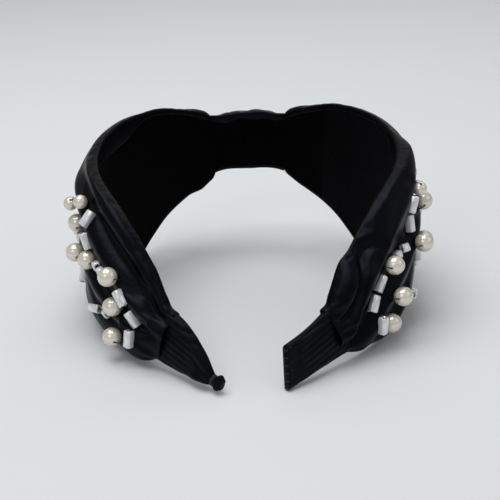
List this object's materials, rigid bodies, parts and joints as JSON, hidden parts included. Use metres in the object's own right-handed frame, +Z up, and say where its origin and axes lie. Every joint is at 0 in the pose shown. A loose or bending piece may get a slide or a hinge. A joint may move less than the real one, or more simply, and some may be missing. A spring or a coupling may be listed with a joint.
{
  "type": "padded headband",
  "caption": "Wide padded satin headband with a knot at the crown, ribbon-covered ends and pearl and glass beads sewn on both wings.",
  "frame": {"origin": "middle of the box on the table: the band lies on its two ends and the lower edges of its wings", "axes": "+X from the left wing to the right wing, +Y from the open ends towards the crown, +Z up from the table"},
  "size_m": [0.158, 0.1572, 0.0777],
  "materials": {
    "satin": "black satin, soft sheen",
    "lining": "matte black lining",
    "ribbon": "ribbed navy-black grosgrain",
    "spring_strip": "moulded, plain",
    "foam": "soft foam",
    "pearl": "pearl lustre coating",
    "bead_glass": "clear glass with a silver lining",
    "thread": "polyester thread"
  },
  "bodies": {
    "crown": {"core_crown": "spring_strip", "knot_pad": "foam", "knot_wrap": "satin", "lining_crown": "lining"},
    "left_arm": {"core_left": "spring_strip", "foam_left": "foam", "cover_left": "satin", "lining_left": "lining", "ribbon_left": "ribbon", "tip_stitch_left": "thread", "pearls_left": "pearl", "small_pearls_left": "pearl", "glass_tubes_left": "bead_glass", "glass_cubes_left": "bead_glass", "bead_threads_left": "thread"},
    "right_arm": {"core_right": "spring_strip", "foam_right": "foam", "cover_right": "satin", "lining_right": "lining", "ribbon_right": "ribbon", "tip_stitch_right": "thread", "pearls_right": "pearl", "small_pearls_right": "pearl", "glass_tubes_right": "bead_glass", "glass_cubes_right": "bead_glass", "bead_threads_right": "thread"}
  },
  "joints": [
    {"name": "left_arm_flex", "type": "hinge", "parent": "crown", "child": "left_arm", "pos_m": [-0.01832, 0.06584, 0.05505], "axis": [0, 0.3166, -0.9486], "range_deg": [-4, 16], "stiffness_Nm_per_rad": 0.8},
    {"name": "right_arm_flex", "type": "hinge", "parent": "crown", "child": "right_arm", "pos_m": [0.01832, 0.06584, 0.05505], "axis": [0, -0.3166, 0.9486], "range_deg": [-4, 16], "stiffness_Nm_per_rad": 0.8}
  ]
}
